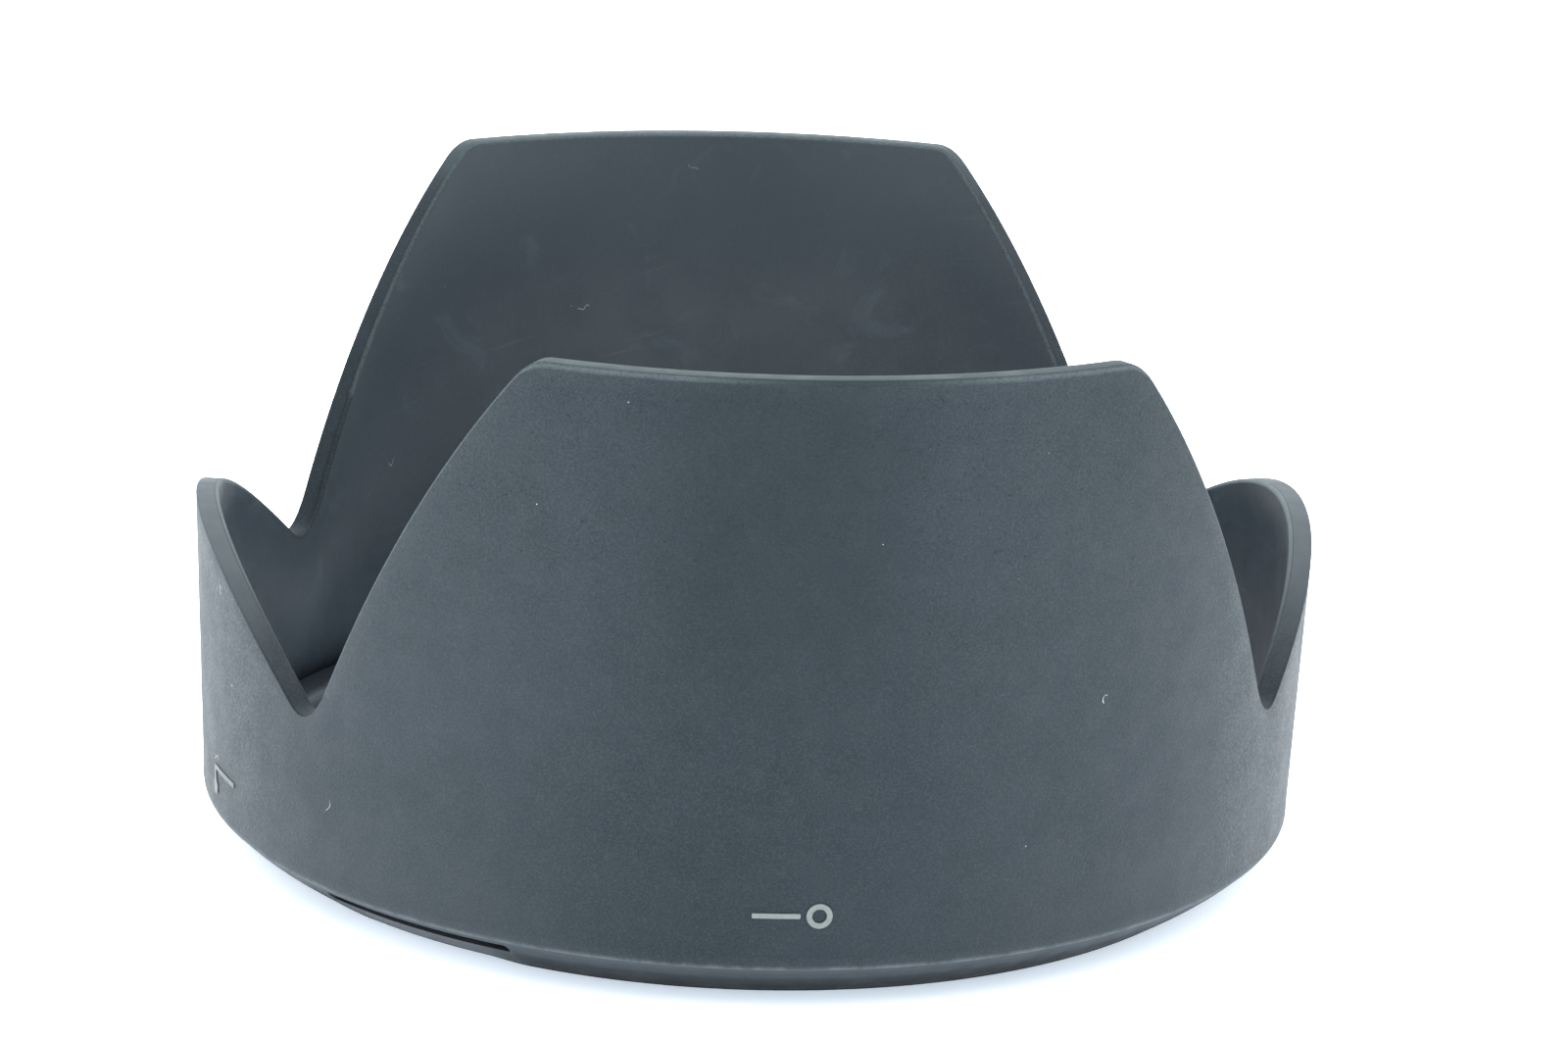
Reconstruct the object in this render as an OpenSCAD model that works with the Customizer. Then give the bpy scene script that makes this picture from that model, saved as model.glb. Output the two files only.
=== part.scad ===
// Petal lens hood with a bayonet collar, standing on its collar.
// Millimetres. +Z is the optical axis and points away from the lens.
// The long petals are on -Y and +Y, the short petals on -X and +X.
// Angles run from the front (-Y) towards +X.

/* [Petal shell] */

// Outer radius of the shell at its lower edge
shell_r = 44; // [43.5:0.1:46]
// Height of the long petals above the table
hood_h = 47.55; // [42:0.05:52]
// Outward lean of the wall, millimetres of radius per millimetre of height
flare = 0.027; // [0:0.001:0.05]
// Wall thickness
wall = 1.85; // [1.6:0.05:2.2]
// Height of the short petals
short_h = 26.9; // [24:0.05:29]
// Steepness of the cut that forms the sides of the long petals
long_cut = 105.2; // [98:0.1:112]
// Steepness of the cut that forms the sides of the short petals
short_cut = 66.6; // [58:0.1:70]
// Height that both sides of a long petal would meet at the side of the hood
long_foot = -44.6; // [-46:0.1:-42]
// Height over which the corners of the long petals are rounded
corner_blend = 1.3; // [0.6:0.1:3]
// Height over which the valleys between the petals are rounded
valley_blend = 6.4; // [4:0.2:10]
// Height of the bevel outside the rim, at the tops of the long petals
bevel_h = 0.35; // [0.2:0.05:0.5]
// Height of the same bevel on the slopes and on the short petals
bevel_low = 0.1; // [0.05:0.05:0.15]
// Height of the bevel inside the rim
lip_h = 0.35; // [0.2:0.05:0.5]

/* [Bayonet collar] */

// Height of the lower edge of the shell above the table
collar_h = 3.3; // [3.2:0.02:3.5]
// Outer radius of the collar where it meets the table
foot_r = 39.8; // [39.6:0.05:40]
// How far the side of the collar bulges beyond a straight taper
bulge = 0.3; // [0:0.05:0.35]
// Radius of the bore that slides over the front of the lens
seat_r = 38.2; // [38:0.05:38.4]
// Height at which the seat bore ends
seat_top = 1.5; // [1.3:0.1:1.6]
// Radius of the collar's inside above the seat bore
groove_r = 39.7; // [39.4:0.05:40]
// Height of the flat ledge inside the shell, the top of the collar
ledge_h = 3.75; // [3.65:0.05:4.1]
// Height of the underside of the bayonet lugs
lug_low = 1.95; // [1.9:0.05:2.1]
// Radius over the tips of the three bayonet lugs
lug_r = 36.9; // [36.5:0.1:37.2]
// Angle covered by one lug
lug_deg = 32; // [24:1:36]
// Direction of the first lug
lug_at = 45.6; // [40:0.2:48]

/* [Click strips] */

// Angle covered by one slot
slot_deg = 23; // [21:0.1:24]
// Direction of the middle of the first slot
slot_at = -42.4; // [-43.6:0.2:-41.6]
// Height of the top of the slots
slot_top = 2.8; // [2.7:0.05:2.9]
// Height of the top of the strips
strip_top = 2.05; // [2:0.05:2.15]
// Gap at each end of a strip and below its foot
strip_gap = 0.15; // [0.1:0.05:0.2]
// How far the click nub stands inside the seat bore
nub_h = 0.5; // [0.3:0.1:0.7]

/* [Printed marks] */

// Height of the lock mark above the table
lock_z = 7.55; // [6.5:0.05:9]
// Outer diameter of the ring of the lock mark
lock_d = 1.9; // [1.6:0.1:2.6]
// Length of the bar of the lock mark
bar_len = 3.5; // [3:0.1:5]
// Direction of the alignment mark
align_at = -77.7; // [-82:0.1:-75]
// Thickness of the print
ink = 0.07; // [0.04:0.01:0.12]

/* [Hidden] */

$fn = 240;
columns = 240;
far = 60;
short_foot = short_h - short_cut;
inner_r = shell_r - wall;
spigot_r = inner_r - 0.05;
shell_edge = 0.1;
shoulder_r = shell_r - shell_edge;
foot_edge = 0.1;
bore_chamfer = 0.3;
edge = 0.2;
ink_gap = 0.01;

// Outer radius of the shell at height z.
function outer_r(z) = shell_r + flare * (z - collar_h);

// Smaller and larger of two heights, rounded over the height k where they cross.
function soft(a, b, k) = pow(max(k - abs(a - b), 0), 2) / (4 * k);
function soft_min(a, b, k) = min(a, b) - soft(a, b, k);
function soft_max(a, b, k) = max(a, b) + soft(a, b, k);

// Height of the rim at angle a.
function long_petal(a) = soft_min(long_cut * abs(cos(a)) + long_foot, hood_h, corner_blend);
function short_petal(a) = short_cut * abs(sin(a)) + short_foot;
function rim(a) = soft_max(long_petal(a), short_petal(a), valley_blend);

// Height of the outer bevel for a rim at height h.
function bevel(h) = bevel_low + (bevel_h - bevel_low) * max(h - hood_h + 1.2, 0) / 1.2;

// Cross-section of the wall for a rim at height h, from the lower outer edge round to the inside.
function wall_section(h) =
    let(top = outer_r(h), b = bevel(h))
    [[shell_r - shell_edge, collar_h],
     [shell_r, collar_h + shell_edge],
     [outer_r(h - b), h - b],
     [top - 0.8 * b, h],
     [top - wall + 0.25, h],
     [top - wall, h - lip_h],
     [inner_r, collar_h]];

// Point p of a cross-section, turned to angle a.
function turned(p, a) = [p[0] * sin(a), -p[0] * cos(a), p[1]];

module petal_shell() {
    angles = [for (i = [0:columns - 1]) i * 360 / columns];
    sections = [for (a = angles) wall_section(rim(a))];
    m = len(sections[0]);
    points = [for (i = [0:columns - 1]) for (p = sections[i]) turned(p, angles[i])];
    faces = [for (i = [0:columns - 1]) for (j = [0:m - 1]) for (half = [0:1])
        let(i2 = (i + 1) % columns, j2 = (j + 1) % m)
        half == 0
            ? [i * m + j, i * m + j2, i2 * m + j2]
            : [i * m + j, i2 * m + j2, i2 * m + j]];
    color("DimGray")
        polyhedron(points = points, faces = faces, convexity = 8);
}

// Part of a turned profile that covers the angle deg, with its middle at angle at.
module sector(at, deg) {
    rotate([0, 0, at - deg / 2 - 90])
        rotate_extrude(angle = deg)
            children();
}

// Radius of the collar's bulging side at height z.
function side_r(z) =
    let(t = (z - foot_edge) / (collar_h - foot_edge))
    foot_r + (shoulder_r - foot_r) * t + bulge * 4 * t * (1 - t);

// Points up the collar's side from height low to height high.
function side(low, high) =
    [for (i = [0:6]) let(z = low + (high - low) * i / 6) [side_r(z), z]];

// Profile of the collar: foot, bulging side, spigot, ledge inside the shell and seat bore.
module ring_profile() {
    polygon([[foot_r - foot_edge, 0],
             each side(foot_edge, collar_h),
             [spigot_r, collar_h],
             [spigot_r, ledge_h],
             [groove_r + edge, ledge_h],
             [groove_r, ledge_h - edge],
             [groove_r, seat_top],
             [seat_r, seat_top],
             [seat_r, bore_chamfer],
             [seat_r + bore_chamfer, 0]]);
}

// One bayonet lug, flush with the ledge and let into the wall behind it.
module lug(at) {
    sector(at, lug_deg)
        polygon([[lug_r, lug_low + edge],
                 [lug_r + edge, lug_low],
                 [groove_r + 0.5, lug_low],
                 [groove_r + 0.5, ledge_h],
                 [lug_r + edge, ledge_h],
                 [lug_r, ledge_h - edge]]);
}

module bayonet_ring() {
    color("DarkSlateGray")
        union() {
            difference() {
                rotate_extrude()
                    ring_profile();
                for (turn = [0, 180])
                    sector(slot_at + turn, slot_deg)
                        polygon([[lug_r - 1, -1],
                                 [far, -1],
                                 [far, slot_top],
                                 [lug_r - 1, slot_top]]);
            }
            for (turn = [0, 120, 240])
                lug(lug_at + turn);
        }
}

// Springy strip below a slot, with a click nub in its middle just above the seat bore.
module click_strip(at) {
    strip_deg = slot_deg - 2 * atan(strip_gap / seat_r);
    color("SlateGray")
        union() {
            sector(at, strip_deg)
                polygon([[seat_r + bore_chamfer, strip_gap],
                         each side(strip_gap, strip_top),
                         [groove_r, strip_top],
                         [groove_r, seat_top],
                         [seat_r, seat_top],
                         [seat_r, bore_chamfer + strip_gap]]);
            sector(at, 5)
                polygon([[seat_r + 0.3, seat_top - 0.1],
                         [groove_r + 0.4, seat_top - 0.1],
                         [groove_r + 0.4, strip_top - 0.05],
                         [seat_r - nub_h + 0.2, strip_top - 0.05],
                         [seat_r - nub_h, strip_top - 0.2]]);
        }
}

module click_strip_a() {
    click_strip(slot_at);
}

module click_strip_b() {
    click_strip(slot_at + 180);
}

// Thin skin over the outside of the shell, in the shape of a flat drawing facing angle at.
module print_on_shell(at) {
    low = collar_h;
    high = 14;
    intersection() {
        rotate_extrude()
            polygon([[outer_r(low) + ink_gap, low],
                     [outer_r(low) + ink_gap + ink, low],
                     [outer_r(high) + ink_gap + ink, high],
                     [outer_r(high) + ink_gap, high]]);
        rotate([0, 0, at])
            rotate([90, 0, 0])
                linear_extrude(far)
                    children();
    }
}

module lock_ring() {
    color("LightGray")
        print_on_shell(0)
            translate([-0.38, lock_z])
                difference() {
                    circle(d = lock_d);
                    circle(d = lock_d * 0.57);
                }
}

module lock_bar() {
    right = -1.76;
    color("LightGray")
        print_on_shell(0)
            translate([right - bar_len, lock_z])
                bar(bar_len, 0.38);
}

// Straight bar along +X with slightly rounded corners.
module bar(length, width) {
    corner = 0.08;
    translate([0, corner - width / 2])
        square([length, width - 2 * corner]);
    translate([corner, -width / 2])
        square([length - 2 * corner, width]);
    for (x = [corner, length - corner], y = [-1, 1])
        translate([x, y * (width / 2 - corner)])
            circle(r = corner);
}

// Slim bar that runs to the right from the top of a short stem, which ends in a hanging drop.
module align_mark() {
    top_z = 7.26;
    tip_z = 6.5;
    drop_z = 5.58;
    drop_r = 0.62;
    stem_w = 0.4;
    color("LightGray")
        print_on_shell(align_at)
            union() {
                translate([-stem_w / 2, top_z - 0.19])
                    square([5.2, 0.38]);
                translate([-stem_w / 2, tip_z - 0.3])
                    square([stem_w, top_z - tip_z + 0.3]);
                translate([0, drop_z])
                    circle(r = drop_r);
                polygon([[-0.52, drop_z + 0.1],
                         [0.52, drop_z + 0.1],
                         [0.15, tip_z],
                         [-0.15, tip_z]]);
            }
}

petal_shell();
bayonet_ring();
click_strip_a();
click_strip_b();
lock_ring();
lock_bar();
align_mark();
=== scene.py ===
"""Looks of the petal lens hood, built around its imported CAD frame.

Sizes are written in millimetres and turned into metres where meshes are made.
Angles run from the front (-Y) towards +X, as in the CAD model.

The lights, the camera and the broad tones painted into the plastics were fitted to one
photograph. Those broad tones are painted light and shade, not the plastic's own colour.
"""
import math

import bpy
from mathutils import Matrix, Vector


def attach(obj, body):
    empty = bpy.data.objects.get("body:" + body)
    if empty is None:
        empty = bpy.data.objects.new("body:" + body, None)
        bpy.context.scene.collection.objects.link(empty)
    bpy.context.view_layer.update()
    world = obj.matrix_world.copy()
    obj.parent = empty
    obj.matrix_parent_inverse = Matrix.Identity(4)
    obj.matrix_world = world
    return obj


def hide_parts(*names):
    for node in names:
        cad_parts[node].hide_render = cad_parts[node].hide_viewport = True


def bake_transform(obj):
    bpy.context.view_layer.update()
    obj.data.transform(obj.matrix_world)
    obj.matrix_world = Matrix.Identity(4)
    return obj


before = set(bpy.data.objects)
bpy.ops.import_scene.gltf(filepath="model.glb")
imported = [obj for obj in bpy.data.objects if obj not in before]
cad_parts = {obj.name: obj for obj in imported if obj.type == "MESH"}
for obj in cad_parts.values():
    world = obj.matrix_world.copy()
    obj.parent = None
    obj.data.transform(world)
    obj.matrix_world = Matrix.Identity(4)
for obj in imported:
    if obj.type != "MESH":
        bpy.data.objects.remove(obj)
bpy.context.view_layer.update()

MM = 0.001

# ---------------------------------------------------------------- sizes of the hood, mm
SHELL_R = 44.0
HOOD_H = 47.54
FLARE = 0.027
WALL = 1.85
COLLAR_H = 3.3
LONG_CUT, LONG_FOOT = 105.2, -44.6
SHORT_CUT, SHORT_H = 66.6, 26.9
CORNER_BLEND = 1.3
VALLEY_BLEND = 6.4
BEVEL_H, BEVEL_LOW, BEVEL_FADE = 0.35, 0.10, 1.2
LIP_W, LIP_H = 0.25, 0.35

SHELL_EDGE = 0.1
FOOT_R = 39.8
FOOT_EDGE = 0.1
SHOULDER_R = SHELL_R - SHELL_EDGE
SPIGOT_R = SHELL_R - WALL - 0.05
BULGE = 0.3
SEAT_R = 38.2
SEAT_TOP = 1.5
GROOVE_R = 39.7
LEDGE_H = 3.75
LUG_LOW = 1.95
LUG_R = 36.9
LUG_DEG = 32.0
LUG_AT = 45.6
LUG_GAP = 0.01
BORE_CHAMFER = 0.3
EDGE = 0.2

SLOT_AT = -42.4
SLOT_DEG = 23.0
# Middle height of the slots, half their height, and the rounding of their edges
SLOT_MID = 2.425
SLOT_HALF = 0.375
SLOT_EDGE = 0.12
STRIP_TOP = SLOT_MID - SLOT_HALF
# Height of a strip's foot above the table, and the length along the strip over which it rises
STRIP_LIFT = 0.60
LIFT_RUN = 3.0
NUB_H = 0.5
NUB_DEG = 5.0

# ---------------------------------------------------------------- places of the painted light and shade, mm
# places of the fitted tones, mm
# X of the middle of the painted shade on the front petal. X of the middle of the darker patch on the
# front petal
DARK_X = -4.0
# Distances of a strip's middle from the axis, along X and along Y
STRIP_MID = (28.3, 31.0)
# Distances from there at which the painted light starts and is full
PALE_START, PALE_FULL = 8.2, 4.0


def outer_r(z):
    """Outer radius of the shell at height z."""
    return SHELL_R + FLARE * (z - COLLAR_H)


def soft(a, b, k):
    """Height by which the crossing of a and b is rounded, over the height k."""
    return max(k - abs(a - b), 0.0) ** 2 / (4 * k)


def rim_height(a):
    """Height of the rim at angle a in radians: long petals, short petals, rounded where they meet."""
    side = LONG_CUT * abs(math.cos(a)) + LONG_FOOT
    long_petal = min(side, HOOD_H) - soft(side, HOOD_H, CORNER_BLEND)
    short_petal = SHORT_CUT * abs(math.sin(a)) + SHORT_H - SHORT_CUT
    return max(long_petal, short_petal) + soft(long_petal, short_petal, VALLEY_BLEND)


def turned(r, z, a):
    """Point in metres at radius r and height z, turned to angle a."""
    return Vector((r * math.sin(a), -r * math.cos(a), z)) * MM


# ---------------------------------------------------------------- meshes
def arc(centre, radius, start, end, steps):
    """Points of a circular arc in a cross-section, angles in degrees."""
    points = []
    for i in range(steps + 1):
        t = math.radians(start + (end - start) * i / steps)
        points.append((centre[0] + radius * math.cos(t), centre[1] + radius * math.sin(t)))
    return points


def grid_faces(columns, rows, round_trip, first=0):
    """Quads that join neighbouring closed cross-sections, outside of the surface facing out."""
    faces = []
    for i in range(columns if round_trip else columns - 1):
        i2 = (i + 1) % columns
        for j in range(rows):
            j2 = (j + 1) % rows
            faces.append((first + i * rows + j, first + i2 * rows + j,
                          first + i2 * rows + j2, first + i * rows + j2))
    return faces


def make_object(name, points, faces, materials, crease=None, wear_and_highlight=None, slots=None):
    """Mesh object in the scene.

    Edges sharper than crease degrees stay sharp, the share for each point is of rubbing and painted
    highlight, and slots is the number of the material of each face.
    """
    mesh = bpy.data.meshes.new(name)
    mesh.from_pydata(points, [], faces)
    mesh.update()
    mesh.shade_smooth()
    if crease is not None:
        mesh.set_sharp_from_angle(angle=math.radians(crease))
    if wear_and_highlight is not None:
        layer = mesh.attributes.new("wear_and_highlight", "FLOAT", "POINT")
        layer.data.foreach_set("value", wear_and_highlight)
    obj = bpy.data.objects.new(name, mesh)
    bpy.context.scene.collection.objects.link(obj)
    for m in materials:
        mesh.materials.append(m)
    if slots is not None:
        mesh.polygons.foreach_set("material_index", slots)
    return obj


# ---------------------------------------------------------------- node materials
class Nodes:
    """A short way to write node materials."""

    def __init__(self, name):
        self.material = bpy.data.materials.new(name)
        self.material.use_nodes = True
        self.tree = self.material.node_tree
        self.tree.nodes.clear()
        self.shader = self.tree.nodes.new("ShaderNodeBsdfPrincipled")
        out = self.tree.nodes.new("ShaderNodeOutputMaterial")
        self.link(self.shader.outputs["BSDF"], out.inputs["Surface"])
        coords = self.tree.nodes.new("ShaderNodeTexCoord")
        scale = self.tree.nodes.new("ShaderNodeVectorMath")
        scale.operation = "SCALE"
        scale.inputs["Scale"].default_value = 1 / MM
        self.link(coords.outputs["Object"], scale.inputs[0])
        self.mm = scale.outputs["Vector"]

    def link(self, a, b):
        self.tree.links.new(a, b)

    def put(self, socket, value):
        if isinstance(value, bpy.types.NodeSocket):
            self.link(value, socket)
        else:
            socket.default_value = value

    def stretched(self, turn, size):
        """Coordinates in mm, turned by Euler degrees and then divided by size along each axis."""
        node = self.tree.nodes.new("ShaderNodeMapping")
        node.vector_type = "TEXTURE"
        self.link(self.mm, node.inputs["Vector"])
        node.inputs["Rotation"].default_value = [math.radians(v) for v in turn]
        node.inputs["Scale"].default_value = size
        return node.outputs["Vector"]

    def noise(self, size, detail=2.0, rough=0.5, vector=None, distortion=0.0):
        """Noise with features about size mm across."""
        node = self.tree.nodes.new("ShaderNodeTexNoise")
        self.link(vector or self.mm, node.inputs["Vector"])
        node.inputs["Scale"].default_value = 1 / size
        node.inputs["Detail"].default_value = detail
        node.inputs["Roughness"].default_value = rough
        node.inputs["Distortion"].default_value = distortion
        return node.outputs["Fac"]

    def cells(self, size):
        """Distance to the nearest of random points size mm apart, and that point's random colour."""
        node = self.tree.nodes.new("ShaderNodeTexVoronoi")
        self.link(self.mm, node.inputs["Vector"])
        node.inputs["Scale"].default_value = 1 / size
        return node.outputs["Distance"], node.outputs["Color"]

    def ramp(self, value, low, high, to_low=0.0, to_high=1.0):
        """Smooth step from to_low to to_high, as value goes from low to high."""
        node = self.tree.nodes.new("ShaderNodeMapRange")
        node.interpolation_type = "SMOOTHSTEP"
        self.link(value, node.inputs["Value"])
        for key, v in (("From Min", low), ("From Max", high), ("To Min", to_low), ("To Max", to_high)):
            node.inputs[key].default_value = v
        return node.outputs["Result"]

    def math(self, kind, a, b=0.0):
        node = self.tree.nodes.new("ShaderNodeMath")
        node.operation = kind
        self.put(node.inputs[0], a)
        self.put(node.inputs[1], b)
        return node.outputs["Value"]

    def part(self, colour, channel):
        node = self.tree.nodes.new("ShaderNodeSeparateColor")
        self.link(colour, node.inputs["Color"])
        return node.outputs[channel]

    def axis(self, vector, name):
        node = self.tree.nodes.new("ShaderNodeSeparateXYZ")
        self.link(vector, node.inputs["Vector"])
        return node.outputs[name]

    def mix(self, fac, a, b):
        node = self.tree.nodes.new("ShaderNodeMix")
        node.data_type = "RGBA"
        self.put(node.inputs["Factor"], fac)
        for socket, value in ((node.inputs["A"], a), (node.inputs["B"], b)):
            if not isinstance(value, bpy.types.NodeSocket) and len(value) == 3:
                value = (*value, 1.0)
            self.put(socket, value)
        return node.outputs["Result"]

    def bump(self, height, strength, distance, normal=None):
        node = self.tree.nodes.new("ShaderNodeBump")
        node.inputs["Strength"].default_value = strength
        node.inputs["Distance"].default_value = distance * MM
        self.link(height, node.inputs["Height"])
        if normal is not None:
            self.link(normal, node.inputs["Normal"])
        return node.outputs["Normal"]

    def attribute(self, name):
        node = self.tree.nodes.new("ShaderNodeAttribute")
        node.attribute_name = name
        return node.outputs["Fac"]

    def finish(self, colour, roughness, normal=None, **sockets):
        self.put(self.shader.inputs["Base Color"], colour)
        self.put(self.shader.inputs["Roughness"], roughness)
        if normal is not None:
            self.link(normal, self.shader.inputs["Normal"])
        for key, value in sockets.items():
            self.shader.inputs[key.replace("_", " ")].default_value = value
        return self.material


def speckles(n, size, radius, share):
    """Mask of sparse round specks: size mm apart, radius mm, in the given share of the cells."""
    distance, colour = n.cells(size)
    chosen = n.ramp(n.part(colour, "Red"), 1 - share, 1 - share + 0.01)
    wobble = n.ramp(n.noise(radius * 1.5), 0.3, 0.7, 0.6, 1.3)
    spot = n.ramp(n.math("DIVIDE", distance, wobble), radius / size, radius / size * 0.6)
    return n.math("MULTIPLY", spot, chosen)


def lint(n, size, share):
    """Mask of short curled fibres: thin contour lines of a noise, kept only in sparse round spots."""
    contour = n.math("ABSOLUTE", n.math("SUBTRACT", n.noise(1.5, 1.0), 0.5))
    line = n.ramp(contour, 0.012, 0.006)
    return n.math("MULTIPLY", line, speckles(n, size, 0.7, share))


def outer_plastic():
    """Matte slate plastic with a spark-eroded grain, dark pores, a little dust, and edges lighter
    from rubbing and a painted highlight.

    Painted shade in the upper middle of the front, painted light at the foot and at the sides,
    and a painted sheen on the grain of the far sides. Fitted tones: darker in the upper middle of
    the front, paler at the foot and at the sides.
    """
    n = Nodes("outer_plastic")
    broad = n.noise(26.0, 1.0)
    cloud = n.noise(5.0, 3.0, 0.6)
    grain = n.noise(0.16, 3.0, 0.65)
    pores = n.noise(0.27, 2.0, 0.6)
    height = n.axis(n.mm, "Z")
    aside = n.math("ABSOLUTE", n.math("SUBTRACT", n.axis(n.mm, "X"), DARK_X))
    pore_share = n.ramp(height, 18.0, 40.0, 0.05, 0.60)
    colour = n.mix(n.ramp(broad, 0.3, 0.7), (0.0055, 0.0120, 0.0165), (0.0095, 0.0160, 0.0215))
    colour = n.mix(n.ramp(cloud, 0.35, 0.75, 0.0, 0.30), colour, (0.003, 0.0095, 0.0125))
    colour = n.mix(n.ramp(grain, 0.40, 0.70, 0.0, 0.54), colour, (0.029, 0.039, 0.047))
    # Painted shade: darker in the upper middle of the front.
    painted_shade_middle = n.math("MULTIPLY", n.ramp(aside, 3.0, 14.0, 0.48, 0.0),
                         n.ramp(height, 16.0, 36.0, 0.10, 1.0))
    colour = n.mix(painted_shade_middle, colour, (0.0015, 0.0060, 0.0095))
    # Painted light: paler at the foot and towards the sides.
    painted_light_foot = n.math("MULTIPLY", n.ramp(aside, 6.0, 28.0, 0.35, 1.0),
                       n.ramp(height, 14.0, 4.0, 0.0, 0.20))
    painted_light_sides = n.ramp(aside, 8.0, 20.0, 0.0, 0.07)
    colour = n.mix(n.math("ADD", painted_light_foot, painted_light_sides), colour, (0.045, 0.053, 0.060))
    # Painted sheen: the grain shows lighter on the far sides.
    painted_sheen_grain = n.math("MULTIPLY", n.ramp(n.noise(0.32, 4.0, 0.8), 0.46, 0.62),
                        n.ramp(aside, 31.0, 43.0, 0.0, 0.44))
    colour = n.mix(painted_sheen_grain, colour, (0.085, 0.095, 0.102))
    dark_pores = n.math("MULTIPLY", n.ramp(pores, 0.62, 0.69), pore_share)
    colour = n.mix(dark_pores, colour, (0.0004, 0.0020, 0.0028))
    # Edges lighter from rubbing and a painted highlight.
    rub_and_highlight = n.math("MULTIPLY", n.attribute("wear_and_highlight"), n.ramp(n.noise(1.6, 4.0, 0.7), 0.35, 0.65, 0.45, 1.0))
    colour = n.mix(n.math("MULTIPLY", rub_and_highlight, 0.80), colour, (0.120, 0.135, 0.146))
    dust = n.math("MAXIMUM", speckles(n, 1.5, 0.060, 0.13), speckles(n, 4.6, 0.11, 0.22))
    colour = n.mix(n.math("MAXIMUM", dust, lint(n, 7.0, 0.25)), colour, (0.40, 0.42, 0.42))
    rough = n.ramp(n.noise(3.0, 3.0, 0.6), 0.3, 0.7, 0.60, 0.68)
    normal = n.bump(grain, 1.0, 0.055)
    normal = n.bump(pores, 0.35, 0.05, normal)
    return n.finish(colour, rough, normal, Specular_IOR_Level=0.22)


def inner_plastic():
    """Smoother, darker inside with a soft sheen, smudges and faint slanted scuffs.

    Painted light near the collar and near the long petals' tops, painted shade at the right.
    Fitted tones: paler near the collar and near the long petals' tops, darker at the right.
    """
    n = Nodes("inner_plastic")
    broad = n.noise(20.0, 2.0)
    colour = n.mix(n.ramp(broad, 0.3, 0.7), (0.0115, 0.0175, 0.0235), (0.0150, 0.0220, 0.0285))
    fine = n.noise(0.22, 3.0, 0.6)
    colour = n.mix(n.ramp(fine, 0.45, 0.75, 0.0, 0.4), colour, (0.022, 0.029, 0.035))
    height = n.axis(n.mm, "Z")
    # Painted light: paler near the collar.
    painted_light_low = n.ramp(height, 15.0, 4.0, 0.0, 0.25)
    colour = n.mix(painted_light_low, colour, (0.050, 0.066, 0.084))
    # Painted light: paler near the long petals' tops.
    painted_light_top = n.ramp(height, 34.0, 46.0, 0.0, 0.25)
    colour = n.mix(painted_light_top, colour, (0.034, 0.043, 0.050))
    # Painted shade: darker towards the right.
    painted_shade_right = n.ramp(n.axis(n.mm, "X"), 30.0, 41.0, 0.0, 0.65)
    colour = n.mix(painted_shade_right, colour, (0.0030, 0.0065, 0.0105))
    smudge = n.ramp(n.noise(7.0, 4.0, 0.65, None, 1.2), 0.56, 0.74, 0.0, 0.30)
    colour = n.mix(smudge, colour, (0.030, 0.048, 0.056))
    slanted = n.stretched((0, -12, 0), (14.0, 14.0, 0.5))
    scuff = n.ramp(n.noise(1.0, 3.0, 0.6, slanted, 0.3), 0.60, 0.78)
    where = n.ramp(n.noise(12.0, 2.0), 0.46, 0.66)
    scuff = n.math("MULTIPLY", scuff, where)
    colour = n.mix(n.math("MULTIPLY", scuff, 0.35), colour, (0.070, 0.088, 0.095))
    dust = n.math("MAXIMUM", speckles(n, 1.9, 0.055, 0.10), speckles(n, 5.0, 0.11, 0.14))
    colour = n.mix(n.math("MAXIMUM", dust, lint(n, 9.0, 0.2)), colour, (0.15, 0.16, 0.16))
    rough = n.ramp(n.noise(4.0, 3.0), 0.3, 0.7, 0.46, 0.55)
    return n.finish(colour, rough, n.bump(fine, 0.6, 0.03), Specular_IOR_Level=0.26)


def rim_plastic():
    """Cut rim: darker, duller than the outside, its edges lighter from rubbing and a painted highlight.

    Painted light: paler at the tops of the short petals and of the long petals. Fitted tones: paler at
    the tops of the short petals and of the long petals.
    """
    n = Nodes("rim_plastic")
    fine = n.noise(0.2, 3.0, 0.6)
    cloud = n.noise(3.0, 3.0, 0.6)
    colour = n.mix(n.ramp(cloud, 0.3, 0.7), (0.0014, 0.0040, 0.0068), (0.0030, 0.0062, 0.0095))
    colour = n.mix(n.ramp(fine, 0.50, 0.75, 0.0, 0.5), colour, (0.012, 0.0185, 0.0240))
    aside = n.math("ABSOLUTE", n.axis(n.mm, "X"))
    height = n.axis(n.mm, "Z")
    # Painted light: paler at the tops of the short petals.
    painted_light_short = n.math("MULTIPLY", n.ramp(height, 17.0, 26.0, 0.06, 0.75), n.ramp(aside, 34.0, 42.0))
    colour = n.mix(painted_light_short, colour, (0.038, 0.046, 0.051))
    # Painted light: paler at the tops of the long petals.
    painted_light_long = n.ramp(height, 43.0, 46.5, 0.0, 0.6)
    colour = n.mix(painted_light_long, colour, (0.018, 0.028, 0.030))
    # Edges lighter from rubbing and a painted highlight.
    rub_and_highlight = n.math("MULTIPLY", n.attribute("wear_and_highlight"), n.ramp(n.noise(0.2, 4.0, 0.75), 0.3, 0.6, 0.45, 1.0))
    colour = n.mix(rub_and_highlight, colour, (0.070, 0.086, 0.092))
    dust = n.math("MAXIMUM", speckles(n, 1.4, 0.06, 0.12), speckles(n, 4.0, 0.12, 0.12))
    colour = n.mix(n.math("MAXIMUM", dust, lint(n, 7.0, 0.25)), colour, (0.13, 0.14, 0.14))
    rough = n.ramp(n.noise(2.0, 3.0), 0.3, 0.7, 0.56, 0.66)
    return n.finish(colour, rough, n.bump(fine, 0.5, 0.03), Specular_IOR_Level=0.06)


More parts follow.
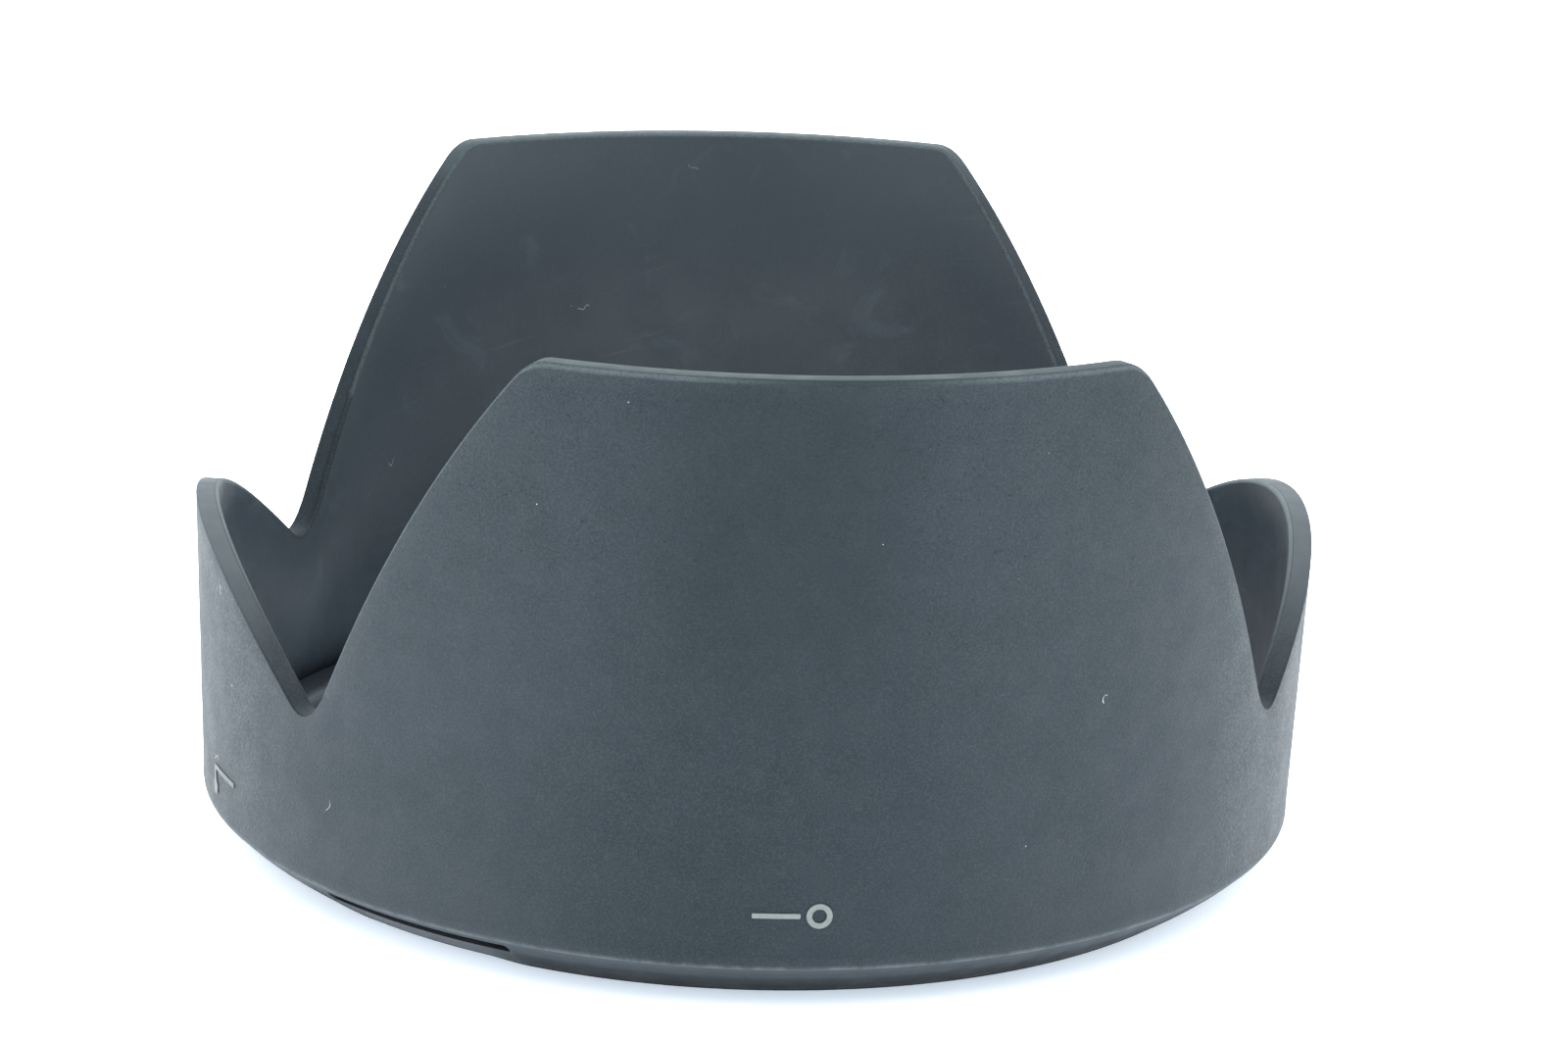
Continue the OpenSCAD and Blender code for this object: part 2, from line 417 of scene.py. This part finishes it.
def collar_plastic(name, foot_shade, strip_light_share, gloss):
    """Collar: the same plastic with a finer grain.

    Painted shade darkens it towards its foot, as much as foot_shade, and on the ledge inside;
    painted light makes it paler up to the ridge, and round the middle of each strip as much as
    strip_light_share. Fitted tones: foot_shade darkens it towards its foot, and
    strip_light_share makes it paler round the middle of each strip.
    """
    n = Nodes(name)
    fine = n.noise(0.18, 3.0, 0.6)
    cloud = n.noise(4.0, 3.0, 0.6)
    colour = n.mix(n.ramp(cloud, 0.3, 0.7), (0.011, 0.0160, 0.0205), (0.015, 0.0205, 0.0255))
    colour = n.mix(n.ramp(fine, 0.50, 0.75, 0.0, 0.45), colour, (0.027, 0.032, 0.038))
    height = n.axis(n.mm, "Z")
    # Painted light: paler up to the ridge at the top.
    ridge = n.math("MULTIPLY", n.ramp(height, 1.6, COLLAR_H, 0.0, 0.7),
                   n.ramp(height, 3.34, 3.5, 1.0, 0.0))
    colour = n.mix(ridge, colour, (0.052, 0.062, 0.072))
    # Painted shade: darker towards the foot, and on the ledge inside.
    colour = n.mix(n.ramp(height, 0.3, 2.2, foot_shade, 0.0), colour, (0.0010, 0.0016, 0.0022))
    colour = n.mix(n.ramp(height, 3.5, 3.7, 0.0, 0.7), colour, (0.0030, 0.0050, 0.0080))
    # Painted light: paler round the middle of each strip.
    along = n.math("SUBTRACT", n.math("ABSOLUTE", n.axis(n.mm, "X")), STRIP_MID[0])
    across = n.math("SUBTRACT", n.math("ABSOLUTE", n.axis(n.mm, "Y")), STRIP_MID[1])
    apart = n.math("ADD", n.math("MULTIPLY", along, along), n.math("MULTIPLY", across, across))
    painted_light_strip = n.ramp(apart, PALE_START ** 2, PALE_FULL ** 2, 0.0, strip_light_share)
    colour = n.mix(painted_light_strip, colour, (0.085, 0.090, 0.102))
    # Edges lighter from rubbing and a painted highlight.
    rub_and_highlight = n.math("MULTIPLY", n.attribute("wear_and_highlight"), n.ramp(n.noise(1.5, 4.0, 0.7), 0.35, 0.65, 0.3, 1.0))
    colour = n.mix(n.math("MULTIPLY", rub_and_highlight, 0.5), colour, (0.085, 0.098, 0.108))
    dust = speckles(n, 2.0, 0.07, 0.12)
    colour = n.mix(dust, colour, (0.15, 0.16, 0.16))
    rough = n.ramp(n.noise(2.0, 3.0), 0.3, 0.7, 0.55, 0.65)
    return n.finish(colour, rough, n.bump(fine, 0.6, 0.03), Specular_IOR_Level=gloss)


def print_ink(name, share):
    """Light grey pad print, slightly uneven; share scales its lightness."""
    n = Nodes(name)
    fine = n.noise(0.25, 3.0, 0.6)
    light = [v * share for v in (0.165, 0.185, 0.178)]
    dull = [v * share for v in (0.13, 0.148, 0.143)]
    colour = n.mix(n.ramp(fine, 0.35, 0.8), light, dull)
    rough = n.ramp(n.noise(0.6, 2.0), 0.3, 0.7, 0.45, 0.6)
    return n.finish(colour, rough, n.bump(fine, 0.3, 0.02), Specular_IOR_Level=0.12)


OUTER = outer_plastic()
INNER = inner_plastic()
RIM = rim_plastic()
# The collar is painted darker at its foot, the strips painted lighter round their middles.
COLLAR = collar_plastic("collar_plastic", 0.85, 0.0, 0.15)
STRIP = collar_plastic("strip_plastic", 0.0, 0.50, 0.3)
INK = print_ink("print_ink", 1.0)
SIDE_INK = print_ink("print_ink_side", 0.6)


# ---------------------------------------------------------------- the shell
SHELL_COLUMNS = 900
GROOVE_DEPTH = 0.06
# Step of the angle over which the slope of the rim is taken
SLOPE_STEP = 1e-4
# Height that only the long petals reach
LONG_ONLY_H = 30


def rim_section(bevel, bevel_wear_and_highlight, groove, lip_wear_and_highlight):
    """Rim from the outer wall to the inner wall, each point (distance in, depth below the rim,
    share of rubbing and painted highlight).

    bevel is the height of the outer bevel, groove the depth of the fine groove beside the inner
    lip, and the other two the shares of rubbing and painted highlight on the bevel and on the lip.
    """
    low = 0.5 * lip_wear_and_highlight if groove else 0.0
    turn = 0.35 * bevel
    top_in = 0.8 * bevel
    section = [(0.0, bevel + 1.4, 0.0), (0.0, bevel + turn, 0.05), (0.01, bevel + 0.3 * turn, 0.5 * bevel_wear_and_highlight),
               (0.03, bevel - 0.3 * turn, bevel_wear_and_highlight), (0.55 * top_in, 0.45 * bevel, bevel_wear_and_highlight),
               (0.7 * top_in, 0.25 * bevel, 0.55 * bevel_wear_and_highlight), (0.86 * top_in, 0.07 * bevel, 0.35 * bevel_wear_and_highlight),
               (top_in + 0.06, 0.0, 0.1), (1.36, 0.0, 0.1), (1.42, 0.0, 0.1 + low),
               (1.445, groove, 0.0), (1.475, groove, 0.0), (1.50, 0.0, 0.1 + low)]
    lip_in = WALL - LIP_W
    section += [(lip_in - 0.08, 0.0, 0.2 * lip_wear_and_highlight), (lip_in + 0.02, 0.02, 0.7 * lip_wear_and_highlight),
                (lip_in + 0.12, 0.10, lip_wear_and_highlight), (lip_in + 0.19, 0.20, lip_wear_and_highlight),
                (WALL - 0.01, LIP_H - 0.03, 0.6 * lip_wear_and_highlight), (WALL, LIP_H + 0.06, 0.1),
                (WALL, 1.6, 0.0)]
    return section


def petal_shell():
    """Whole shell: a foot and a rim section at each angle, with outer, inner and rim plastic."""
    # Shares round the shell's bottom edge are rubbing and a painted highlight on the ridge.
    foot = [(SHELL_R - WALL, COLLAR_H, 0.0), (SHELL_R - SHELL_EDGE - 0.04, COLLAR_H, 0.2)]
    for x, y in arc((SHELL_R - SHELL_EDGE, COLLAR_H + SHELL_EDGE), SHELL_EDGE, -90, 0, 5):
        foot.append((x, y, 0.9))
    foot.append((SHELL_R, COLLAR_H + SHELL_EDGE + 0.04, 0.6))
    foot.append((SHELL_R, COLLAR_H + SHELL_EDGE + 0.25, 0.1))
    foot.append((SHELL_R, COLLAR_H + 1.0, 0.0))
    points, wear_and_highlight = [], []
    for i in range(SHELL_COLUMNS):
        a = 2 * math.pi * i / SHELL_COLUMNS
        h = rim_height(a)
        rise = rim_height(a + SLOPE_STEP) - rim_height(a - SLOPE_STEP)
        slope = rise / (2 * SLOPE_STEP * outer_r(h))
        along, up = -slope / math.hypot(slope, 1), 1 / math.hypot(slope, 1)
        high = max(0.0, h - HOOD_H + BEVEL_FADE) / BEVEL_FADE
        bevel = BEVEL_LOW + (BEVEL_H - BEVEL_LOW) * high
        # Shares of rubbing and painted highlight on the rim's bevel and lip.
        front_or_back = abs(math.cos(a)) > 0.6
        bevel_wear_and_highlight = 0.95 * (1 - high) if front_or_back else 0.15
        bevel_wear_and_highlight += high * (0.15 + 0.70 * min(1.0, abs(math.sin(a)) / 0.25) ** 2)
        short_top = max(0.0, 1 - abs(math.cos(a)) / 0.5) if h < LONG_ONLY_H else 0.0
        lip_wear_and_highlight = 0.25 + 0.75 * short_top if h < SHORT_H + 0.1 else 0.6
        rim = rim_section(bevel, bevel_wear_and_highlight, GROOVE_DEPTH * min(1.0, 2 * short_top), lip_wear_and_highlight)
        for r, z, w in foot:
            points.append(turned(r, z, a))
            wear_and_highlight.append(w)
        for inset, depth, w in rim:
            z = h - depth * up
            points.append(turned(outer_r(z) - inset, z, a - depth * along / outer_r(h)))
            wear_and_highlight.append(w)
    rows = len(foot) + len(rim)
    faces = grid_faces(SHELL_COLUMNS, rows, True)
    outer_rows = len(foot) + 2
    inner_row = rows - 3
    slots = []
    for f in range(len(faces)):
        row = f % rows
        slots.append(0 if row < outer_rows else (1 if row >= inner_row else 2))
    return make_object("petal_shell_mould", points, faces, [OUTER, INNER, RIM], wear_and_highlight=wear_and_highlight, slots=slots)


shell = petal_shell()
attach(shell, "hood")
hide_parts("petal_shell")


# ---------------------------------------------------------------- the collar and its click strips
def side_r(z):
    """Radius of the collar's bulging side at height z."""
    t = (z - FOOT_EDGE) / (COLLAR_H - FOOT_EDGE)
    return FOOT_R + (SHOULDER_R - FOOT_R) * t + BULGE * 4 * t * (1 - t)


def side_points(low, high, steps=6):
    """Points up the collar's side, just inside both ends."""
    return [(side_r(low + (high - low) * i / steps), low + (high - low) * i / steps, 0.0)
            for i in range(1, steps)]


def upper_section(half):
    """Collar above a slot that is open by half on each side of its middle."""
    edge = SLOT_EDGE * min(1.0, half / SLOT_HALF)
    z = SLOT_MID + half
    return [(side_r(z) - edge, z, 0.1), (side_r(z + edge), z + edge, 0.3),
            *side_points(z + edge, COLLAR_H),
            (SHOULDER_R - 0.03, COLLAR_H - 0.03, 0.7), (SHOULDER_R, COLLAR_H, 0.8),
            (SPIGOT_R, COLLAR_H, 0.0), (SPIGOT_R, LEDGE_H, 0.0),
            (GROOVE_R + EDGE, LEDGE_H, 0.1), (GROOVE_R, LEDGE_H - EDGE, 0.3), (GROOVE_R, z, 0.0)]


def lower_section(half, lift=0.0):
    """Collar below the slot: the springy strip where the slot is open, its foot raised by lift."""
    edge = SLOT_EDGE * min(1.0, half / SLOT_HALF)
    z = SLOT_MID - half
    lip = min(SEAT_TOP, z)
    foot = FOOT_EDGE + lift
    return [(GROOVE_R, z, 0.0), (GROOVE_R, lip, 0.0), (SEAT_R, lip, 0.2),
            (SEAT_R, BORE_CHAMFER + lift, 0.2), (SEAT_R + BORE_CHAMFER, lift, 0.5),
            (side_r(foot) - FOOT_EDGE, lift, 0.3), (side_r(foot) - 0.03, lift + 0.03, 0.4),
            (side_r(foot), foot, 0.3), *side_points(foot, z - edge),
            (side_r(z - edge), z - edge, 0.3), (side_r(z) - edge, z, 0.1)]


def full_section():
    """Whole collar where there is no slot."""
    return lower_section(0.0)[1:-1] + upper_section(0.0)[2:]


def slot_half(a, start, end):
    """Half height of a slot at angle a, with round ends at start and end (radians)."""
    d = min(a - start, end - a) * side_r(SLOT_MID)
    if d >= SLOT_HALF:
        return SLOT_HALF
    return math.sqrt(max(0.0, SLOT_HALF ** 2 - (SLOT_HALF - d) ** 2))


def strip_lift(a, start, end):
    """Height of a strip's foot above the table at angle a, rising from both fixed ends."""
    share = min(1.0, max(0.0, min(a - start, end - a)) * side_r(0.5) / LIFT_RUN)
    return STRIP_LIFT * share * share * (3 - 2 * share)


def spaced(start, end, step_deg=0.5, ends=()):
    """Angles from start to end in radians, with finer steps near the listed ends."""
    count = max(2, round(math.degrees(end - start) / step_deg))
    angles = [start + (end - start) * i / count for i in range(count + 1)]
    radius = SLOT_HALF / side_r(SLOT_MID)
    for at, way in ends:
        angles = [v for v in angles if abs(v - at) > radius * 1.05 or v == at]
        angles += [at + way * radius * (1 - math.cos(math.radians(t))) for t in range(10, 91, 10)]
    return sorted(set(angles))


def sweep(angles, section_at, points, faces, wear_and_highlight, caps=False):
    """Adds the surface that a closed cross-section sweeps over the angles."""
    first = len(points)
    rows = 0
    for a in angles:
        section = section_at(a)
        rows = len(section)
        for r, z, w in section:
            points.append(turned(r, z, a))
            wear_and_highlight.append(w)
    faces += grid_faces(len(angles), rows, False, first)
    if caps:
        last = first + (len(angles) - 1) * rows
        faces.append(tuple(first + j for j in range(rows)))
        faces.append(tuple(last + j for j in reversed(range(rows))))


def collar():
    """Collar with its two slots and three bayonet lugs, without the strips below the slots."""
    points, faces, wear_and_highlight = [], [], []
    half_slot = math.radians(SLOT_DEG / 2)
    slots = [math.radians(SLOT_AT), math.radians(SLOT_AT + 180)]
    for i, mid in enumerate(slots):
        start, end = mid - half_slot, mid + half_slot
        sweep(spaced(start, end, ends=((start, 1), (end, -1))),
              lambda a: upper_section(slot_half(a, start, end)), points, faces, wear_and_highlight)
        following = slots[(i + 1) % 2] + (2 * math.pi if i else 0) - half_slot
        sweep(spaced(end, following), lambda a: full_section(), points, faces, wear_and_highlight)
    for turn in (0, 120, 240):
        at, half = math.radians(LUG_AT + turn), math.radians(LUG_DEG / 2)
        low, high = LUG_LOW, LEDGE_H - LUG_GAP
        lug = [(LUG_R, low + EDGE, 0.3), (LUG_R + EDGE, low, 0.3), (GROOVE_R + EDGE, low, 0.0),
               (GROOVE_R + EDGE, high, 0.0), (LUG_R + EDGE, high, 0.2),
               (LUG_R, LEDGE_H - EDGE, 0.4)]
        sweep(spaced(at - half, at + half), lambda a: lug[::-1], points, faces, wear_and_highlight, caps=True)
    return make_object("collar_mould", points, faces, [COLLAR], crease=28, wear_and_highlight=wear_and_highlight)


def strip_half(name, mid, side):
    """Half of a click strip, from its fixed end (side -1 or 1) to its middle."""
    points, faces, wear_and_highlight = [], [], []
    half_slot = math.radians(SLOT_DEG / 2)
    start, end = mid - half_slot, mid + half_slot
    fixed = mid + side * half_slot
    angles = spaced(min(mid, fixed), max(mid, fixed), ends=((fixed, -side),))
    sweep(angles, lambda a: lower_section(slot_half(a, start, end), strip_lift(a, start, end)),
          points, faces, wear_and_highlight)
    return make_object(name, points, faces, [STRIP], crease=28, wear_and_highlight=wear_and_highlight)


def nub(name, mid):
    """Click nub on the inside of a strip, just above the seat bore, lower at both ends."""
    points, faces, wear_and_highlight = [], [], []
    low, high = SEAT_TOP - 0.1, STRIP_TOP - 0.05
    section = [(SEAT_R + 0.3, low), (GROOVE_R + 0.4, low), (GROOVE_R + 0.4, high),
               (SEAT_R - NUB_H + 0.2, high), (SEAT_R - NUB_H, STRIP_TOP - 0.2)]
    half = math.radians(NUB_DEG / 2)

    def section_at(a):
        drop = 0.35 if abs(a - mid) > half * 0.9 else 0.0
        return [(r + (drop if r < SEAT_R else 0.0), z, 0.3) for r, z in section]

    angles = [mid + half * share for share in (-1, -0.6, 0, 0.6, 1)]
    sweep(angles, section_at, points, faces, wear_and_highlight, caps=True)
    return make_object(name, points, faces, [COLLAR], crease=28, wear_and_highlight=wear_and_highlight)


collar_piece = collar()
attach(collar_piece, "hood")
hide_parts("bayonet_ring")

for letter, at in (("a", SLOT_AT), ("b", SLOT_AT + 180)):
    mid = math.radians(at)
    body = "click_" + letter
    for word, side in (("left", -1), ("right", 1)):
        half = strip_half(f"click_strip_{letter}_{word}", mid, side)
        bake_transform(half)
        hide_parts("click_strip_" + letter)
    nub_piece = nub("click_nub_" + letter, mid)
    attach(nub_piece, body)

for name in ("lock_ring", "lock_bar", "align_mark"):
    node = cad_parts[name]
    node.data.materials.clear()
    node.data.materials.append(SIDE_INK if name == "align_mark" else INK)


# ---------------------------------------------------------------- stage, light and camera
# Half the width of the table, and the point that every light faces, metres
TABLE_REACH = 3
LIGHT_AIM = (0, 0, 0.02)


def table_sheet():
    """Pale translucent acrylic sheet, lit a little from below with a cool light."""
    n = Nodes("table_sheet")
    tone = n.mix(n.ramp(n.noise(60.0, 2.0), 0.3, 0.7), (0.92, 0.93, 0.94), (0.90, 0.91, 0.925))
    return n.finish(tone, 0.7, Emission_Color=(0.72, 0.86, 1.0, 1.0), Emission_Strength=0.5)


corners = [Vector((x * TABLE_REACH, y * TABLE_REACH, 0)) for x, y in ((-1, -1), (1, -1), (1, 1), (-1, 1))]
table = make_object("table", corners, [(0, 1, 2, 3)], [table_sheet()])


def area_light(name, at, size, power, colour=(1, 1, 1)):
    """Soft box at a place in metres, with its size in metres and its power in watts."""
    data = bpy.data.lights.new(name, "AREA")
    data.shape = "RECTANGLE"
    data.size, data.size_y = size
    data.energy = power
    data.color = colour
    obj = bpy.data.objects.new(name, data)
    obj.location = at
    obj.rotation_euler = (Vector(LIGHT_AIM) - Vector(at)).to_track_quat("-Z", "Y").to_euler()
    bpy.context.scene.collection.objects.link(obj)


area_light("left_box", (-0.7, 0.15, 0.12), (0.5, 0.2), 1.3)
area_light("right_box", (0.75, -0.05, 0.35), (0.6, 0.6), 1.5)
area_light("top_box", (0.0, 0.25, 0.8), (0.8, 0.6), 14.0)
area_light("back_box", (0.0, 0.9, 0.5), (1.2, 0.6), 6.0, (0.82, 0.97, 1.0))

# Cosine of the angle from the dim direction at which the dimming starts, and at which it is full
DIM_START, DIM_FULL = 0.78, 0.99


def studio_world(colour, strength, dark_towards, dark_share):
    """Even cool surroundings, dimmer towards one direction, as if the photographer stood there."""
    world = bpy.data.worlds.new("studio")
    world.use_nodes = True
    tree = world.node_tree
    background = tree.nodes["Background"]
    background.inputs["Color"].default_value = (*colour, 1.0)
    coords = tree.nodes.new("ShaderNodeTexCoord")
    dot = tree.nodes.new("ShaderNodeVectorMath")
    dot.operation = "DOT_PRODUCT"
    dot.inputs[1].default_value = Vector(dark_towards).normalized()
    tree.links.new(coords.outputs["Generated"], dot.inputs[0])
    ramp = tree.nodes.new("ShaderNodeMapRange")
    ramp.interpolation_type = "SMOOTHSTEP"
    tree.links.new(dot.outputs["Value"], ramp.inputs["Value"])
    for key, v in (("From Min", DIM_START), ("From Max", DIM_FULL), ("To Min", strength),
                   ("To Max", strength * dark_share)):
        ramp.inputs[key].default_value = v
    tree.links.new(ramp.outputs["Result"], background.inputs["Strength"])
    return world


scene = bpy.context.scene
scene.world = studio_world((0.94, 0.975, 1.0), 2.75, (0.08, -1.0, 0.62), 0.25)
scene.view_settings.view_transform = "Standard"

CAMERA_AT = Vector((-46.68, -335.81, 121.59)) * MM
# Radians: yaw towards +X, pitch upward, roll
YAW, PITCH, ROLL = 0.14498, -0.27894, 0.03934
# Focal length and width of the sensor, mm
FOCAL = 100.56
SENSOR_W = 36.0

ahead = Vector((math.sin(YAW) * math.cos(PITCH), math.cos(YAW) * math.cos(PITCH), math.sin(PITCH)))
level = Vector((math.cos(YAW), -math.sin(YAW), 0))
upright = level.cross(ahead)
right = math.cos(ROLL) * level + math.sin(ROLL) * upright
up = right.cross(ahead)
camera = bpy.data.objects.new("camera", bpy.data.cameras.new("camera"))
camera.data.lens = FOCAL
camera.data.sensor_width = SENSOR_W
camera.data.clip_start = 0.01
camera.data.clip_end = 20.0
turn = Matrix((right, up, -ahead)).transposed().to_4x4()
camera.matrix_world = Matrix.Translation(CAMERA_AT) @ turn
scene.collection.objects.link(camera)
scene.camera = camera
